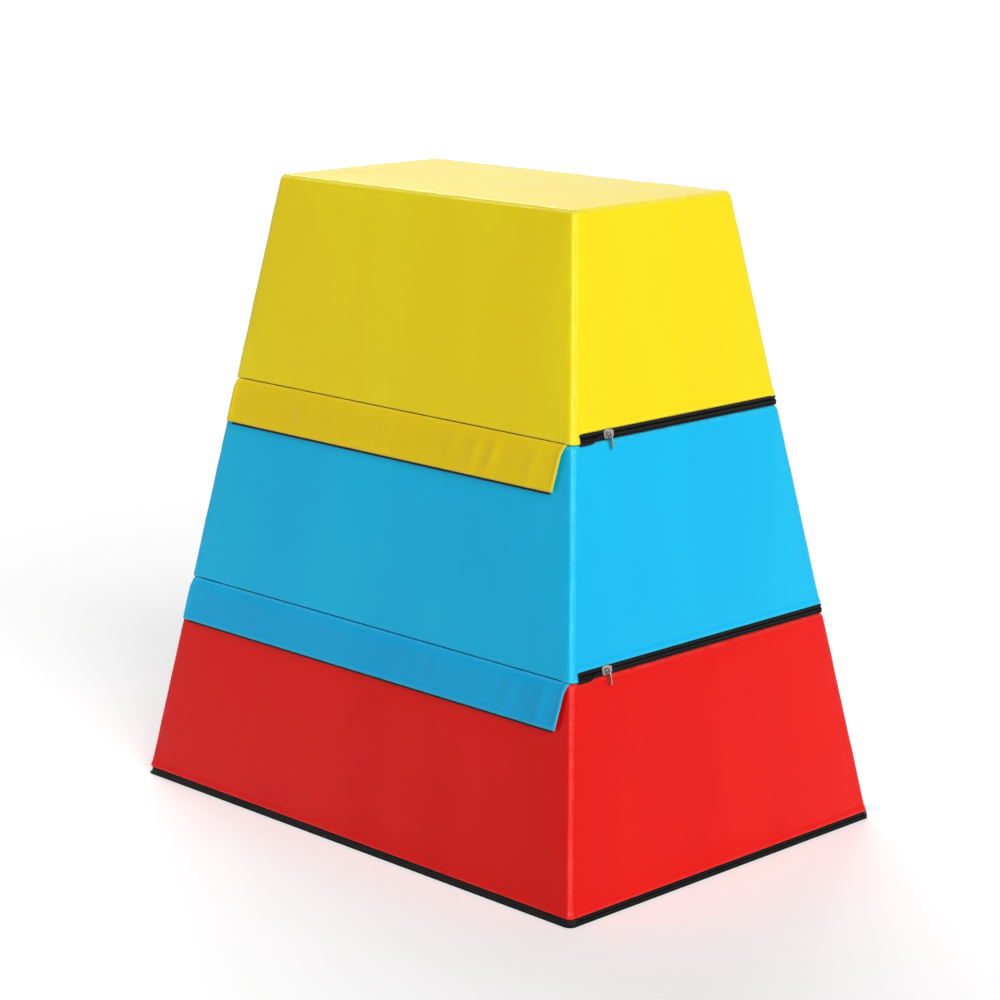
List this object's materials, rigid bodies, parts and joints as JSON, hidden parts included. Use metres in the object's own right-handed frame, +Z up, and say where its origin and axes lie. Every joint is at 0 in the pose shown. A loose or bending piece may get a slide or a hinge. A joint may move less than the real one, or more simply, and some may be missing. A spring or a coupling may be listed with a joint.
{
  "type": "vaulting box",
  "caption": "Tapered foam vaulting box of stacked vinyl-covered tiers that lift apart, each with a zipped cover and an overlapping hook-and-loop flap.",
  "frame": {"origin": "middle of the base panel's underside, on the floor", "axes": "+X along the box's length, towards the end with the two visible zip sliders; the side with the flaps faces -Y; +Z up"},
  "size_m": [0.6967, 0.4805, 0.6997],
  "materials": {
    "vinyl_yellow": "satin",
    "vinyl_blue": "satin",
    "vinyl_red": "satin",
    "base_vinyl": "matte",
    "foam": "matte",
    "zip_tape": "matte",
    "zip_coil": "satin",
    "slider_metal": "gloss",
    "hook_and_loop": "matte"
  },
  "bodies": {
    "bottom_tier": {"bottom_foam_core": "foam", "bottom_cover": "vinyl_red", "bottom_base_panel": "base_vinyl", "bottom_zip_upper_tape": "zip_tape", "bottom_zip_lower_tape": "zip_tape", "bottom_zip_upper_coil": "zip_coil", "bottom_zip_lower_coil": "zip_coil", "bottom_loop_strip": "hook_and_loop"},
    "bottom_slider": {"bottom_zip_slider": "slider_metal"},
    "bottom_pull": {"bottom_zip_pull": "slider_metal"},
    "middle_tier": {"middle_foam_core": "foam", "middle_cover": "vinyl_blue", "middle_base_panel": "base_vinyl", "middle_zip_upper_tape": "zip_tape", "middle_zip_lower_tape": "zip_tape", "middle_zip_upper_coil": "zip_coil", "middle_zip_lower_coil": "zip_coil", "middle_loop_strip": "hook_and_loop"},
    "middle_slider": {"middle_zip_slider": "slider_metal"},
    "middle_pull": {"middle_zip_pull": "slider_metal"},
    "middle_flap": {"middle_flap": "vinyl_blue", "middle_hook_strip": "hook_and_loop"},
    "top_tier": {"top_foam_core": "foam", "top_cover": "vinyl_yellow", "top_base_panel": "base_vinyl", "top_zip_upper_tape": "zip_tape", "top_zip_lower_tape": "zip_tape", "top_zip_upper_coil": "zip_coil", "top_zip_lower_coil": "zip_coil"},
    "top_slider": {"top_zip_slider": "slider_metal"},
    "top_pull": {"top_zip_pull": "slider_metal"},
    "top_flap": {"top_flap": "vinyl_yellow", "top_hook_strip": "hook_and_loop"}
  },
  "joints": [
    {"name": "middle_tier_lift", "type": "slide", "parent": "bottom_tier", "child": "middle_tier", "axis": [0, 0, 1], "range_m": [0, 0.3]},
    {"name": "top_tier_lift", "type": "slide", "parent": "middle_tier", "child": "top_tier", "axis": [0, 0, 1], "range_m": [0, 0.3]},
    {"name": "middle_flap_fold", "type": "hinge", "parent": "middle_tier", "child": "middle_flap", "pos_m": [0, -0.20019, 0.23817], "axis": [-1, 0, 0], "range_deg": [0, 150]},
    {"name": "top_flap_fold", "type": "hinge", "parent": "top_tier", "child": "top_flap", "pos_m": [0, -0.16041, 0.47017], "axis": [-1, 0, 0], "range_deg": [0, 150]},
    {"name": "bottom_zip_run", "type": "slide", "parent": "bottom_tier", "child": "bottom_slider", "axis": [0, 1, 0], "range_m": [-0.03, 0.41]},
    {"name": "middle_zip_run", "type": "slide", "parent": "middle_tier", "child": "middle_slider", "axis": [0, 1, 0], "range_m": [-0.03, 0.33]},
    {"name": "top_zip_run", "type": "slide", "parent": "top_tier", "child": "top_slider", "axis": [0, 1, 0], "range_m": [-0.03, 0.25]},
    {"name": "bottom_pull_swing", "type": "hinge", "parent": "bottom_slider", "child": "bottom_pull", "pos_m": [-0.34896, -0.19, 0.00553], "axis": [0, -1, 0], "range_deg": [0, 105]},
    {"name": "middle_pull_swing", "type": "hinge", "parent": "middle_slider", "child": "middle_pull", "pos_m": [0.30977, -0.1492, 0.24403], "axis": [0, -1, 0], "range_deg": [0, 170]},
    {"name": "top_pull_swing", "type": "hinge", "parent": "top_slider", "child": "top_pull", "pos_m": [0.27158, -0.10943, 0.47653], "axis": [0, -1, 0], "range_deg": [0, 170]}
  ]
}
